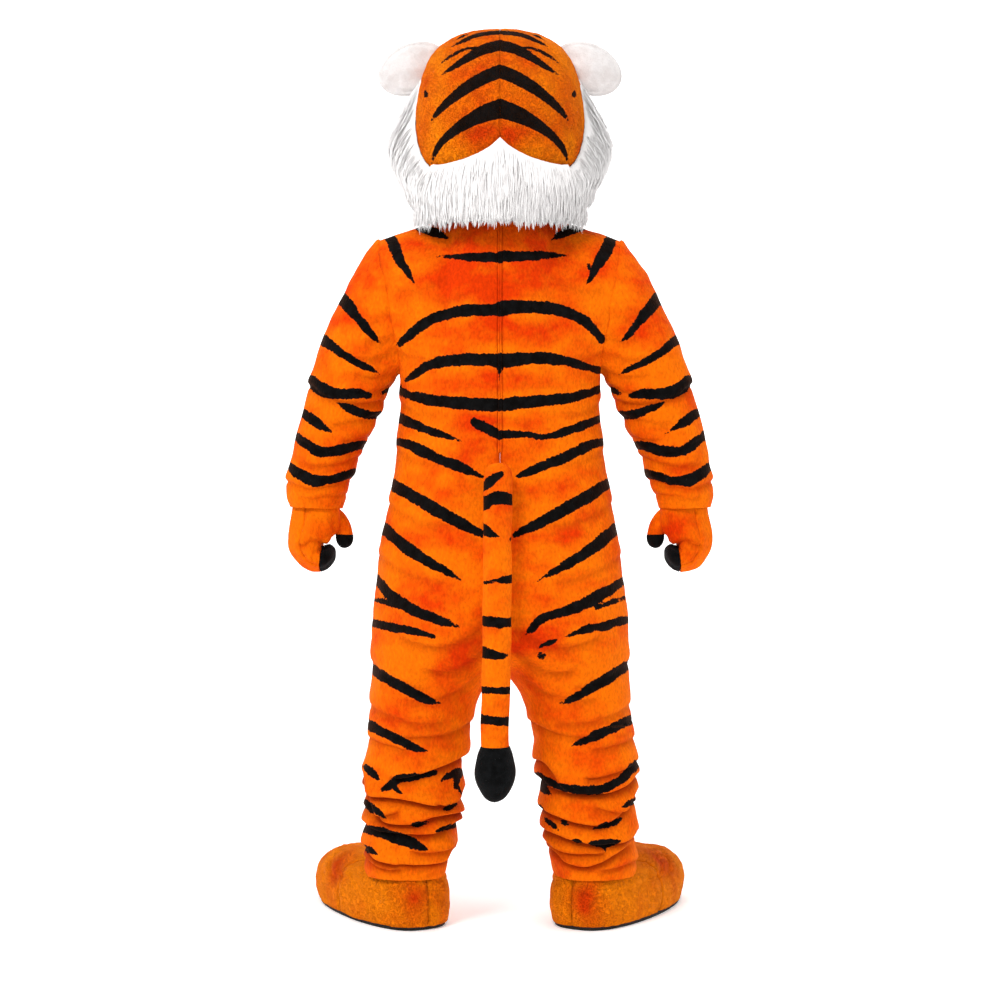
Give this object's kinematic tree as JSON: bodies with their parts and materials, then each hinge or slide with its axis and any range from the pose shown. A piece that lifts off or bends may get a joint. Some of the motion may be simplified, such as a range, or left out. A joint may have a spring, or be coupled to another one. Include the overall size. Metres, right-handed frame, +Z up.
{
  "type": "tiger mascot costume",
  "caption": "Hollow plush tiger costume as worn: head with fur mane, zipped one-piece suit, tail, paw gloves and boots.",
  "frame": {"origin": "between the shoulders, inside the suit at the height of the shoulder seams, where the wearer carries it; 1.480 m above the soles", "axes": "+Z up, -Y the front, +Y the back with the zip and the tail, +X the wearer's left"},
  "size_m": [0.91, 0.5614, 1.896],
  "materials": {
    "orange_plush": "short brushed pile, warm orange with redder patches where the nap lies over",
    "orange_curly_plush": "short curly pile on thin foam",
    "black_plush": "short black pile with a grey sheen",
    "white_fur": "long straight fur",
    "white_plush": "short soft pile",
    "rose_velour": "fine velour",
    "black_sole": "matt ribbed foam rubber",
    "eye_gloss": "glossy moulded dome",
    "zip_tape": "plush-covered zip placket"
  },
  "bodies": {
    "root": {"head_crown_left": "orange_curly_plush", "head_crown_right": "orange_curly_plush", "head_face": "orange_curly_plush", "muzzle": "white_plush", "chin": "white_plush", "nose": "rose_velour", "eye_left": "eye_gloss", "eye_right": "eye_gloss", "ear_left": "white_plush", "ear_right": "white_plush", "mane_left": "white_fur", "mane_right": "white_fur", "mane_nape": "white_fur", "mane_chest": "white_fur", "suit_back_left": "orange_plush", "suit_back_right": "orange_plush", "suit_front_left": "orange_plush", "suit_front_right": "orange_plush", "zip_strip": "zip_tape", "sleeve_left": "orange_plush", "sleeve_right": "orange_plush", "tail": "orange_plush", "tail_tip": "black_plush", "glove_left_back": "orange_plush", "glove_left_palm": "orange_plush", "glove_left_fingertips": "black_plush", "glove_left_thumb": "orange_plush", "glove_left_thumb_tip": "black_plush", "glove_right_back": "orange_plush", "glove_right_palm": "orange_plush", "glove_right_fingertips": "black_plush", "glove_right_thumb": "orange_plush", "glove_right_thumb_tip": "black_plush", "boot_left_vamp": "orange_curly_plush", "boot_left_quarter_outer": "orange_curly_plush", "boot_left_quarter_inner": "orange_curly_plush", "boot_left_sole": "black_sole", "boot_right_vamp": "orange_curly_plush", "boot_right_quarter_outer": "orange_curly_plush", "boot_right_quarter_inner": "orange_curly_plush", "boot_right_sole": "black_sole"}
  },
  "joints": []
}
